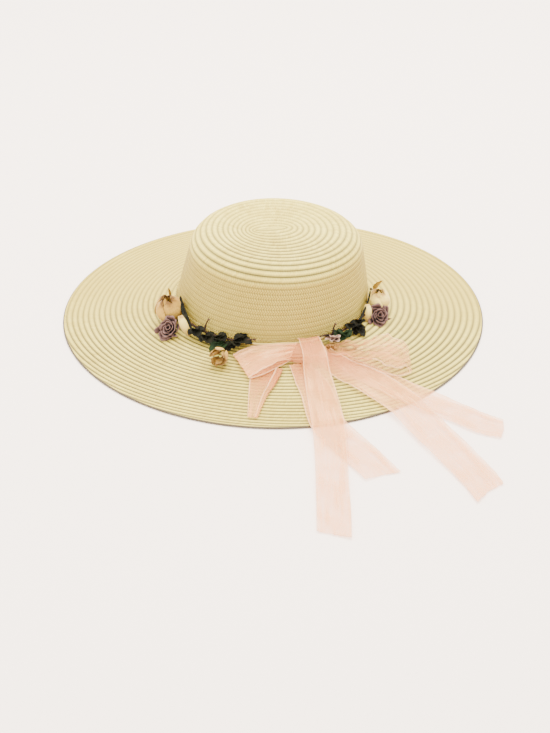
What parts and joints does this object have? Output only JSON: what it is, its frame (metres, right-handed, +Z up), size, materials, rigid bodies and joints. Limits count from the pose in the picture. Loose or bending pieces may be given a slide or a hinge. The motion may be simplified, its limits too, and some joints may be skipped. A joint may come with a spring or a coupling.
{
  "type": "straw hat",
  "caption": "Wide brim straw hat with a round crown, a garland of leaves and small flowers, and a sheer ribbon bow with long tails.",
  "frame": {"origin": "the crown's axis at its foot, in the plane that the brim rests on", "axes": "+Z up, -Y towards the bow at the front, +X to the right of someone who looks at the bow"},
  "size_m": [0.416, 0.5776, 0.0986],
  "materials": {
    "straw": "braided straw, matt",
    "organza": "sheer ribbon, soft sheen",
    "leaf_green": "matt",
    "leaf_dark": "matt",
    "leaf_gold": "matt",
    "rose_mauve": "matt",
    "satin_tan": "satin",
    "satin_cream": "satin",
    "stem_brown": "wrapped wire, matt"
  },
  "bodies": {
    "root": {"crown": "straw", "brim": "straw", "hat_band": "organza", "vine": "stem_brown", "leaf_01": "leaf_dark", "leaf_02": "leaf_dark", "leaf_03": "leaf_dark", "leaf_04": "leaf_green", "leaf_05": "leaf_green", "leaf_06": "leaf_dark", "leaf_07": "leaf_dark", "leaf_08": "leaf_green", "leaf_09": "leaf_green", "leaf_10": "leaf_dark", "leaf_11": "leaf_green", "leaf_12": "leaf_gold", "leaf_13": "leaf_gold", "twig_1": "stem_brown", "twig_2": "stem_brown", "twig_3": "stem_brown", "twig_4": "stem_brown", "rose_left": "rose_mauve", "rose_right": "rose_mauve", "flower_left": "satin_tan", "flower_right": "satin_cream", "petal_left": "satin_cream", "petal_right": "satin_cream", "bud_left": "satin_tan", "bud_right": "rose_mauve", "tail_1": "organza", "tail_2": "organza", "tail_3": "organza", "tail_4": "organza", "bow_return": "organza", "bow_loop_left": "organza", "bow_loop_right": "organza", "bow_knot": "organza"}
  },
  "joints": []
}
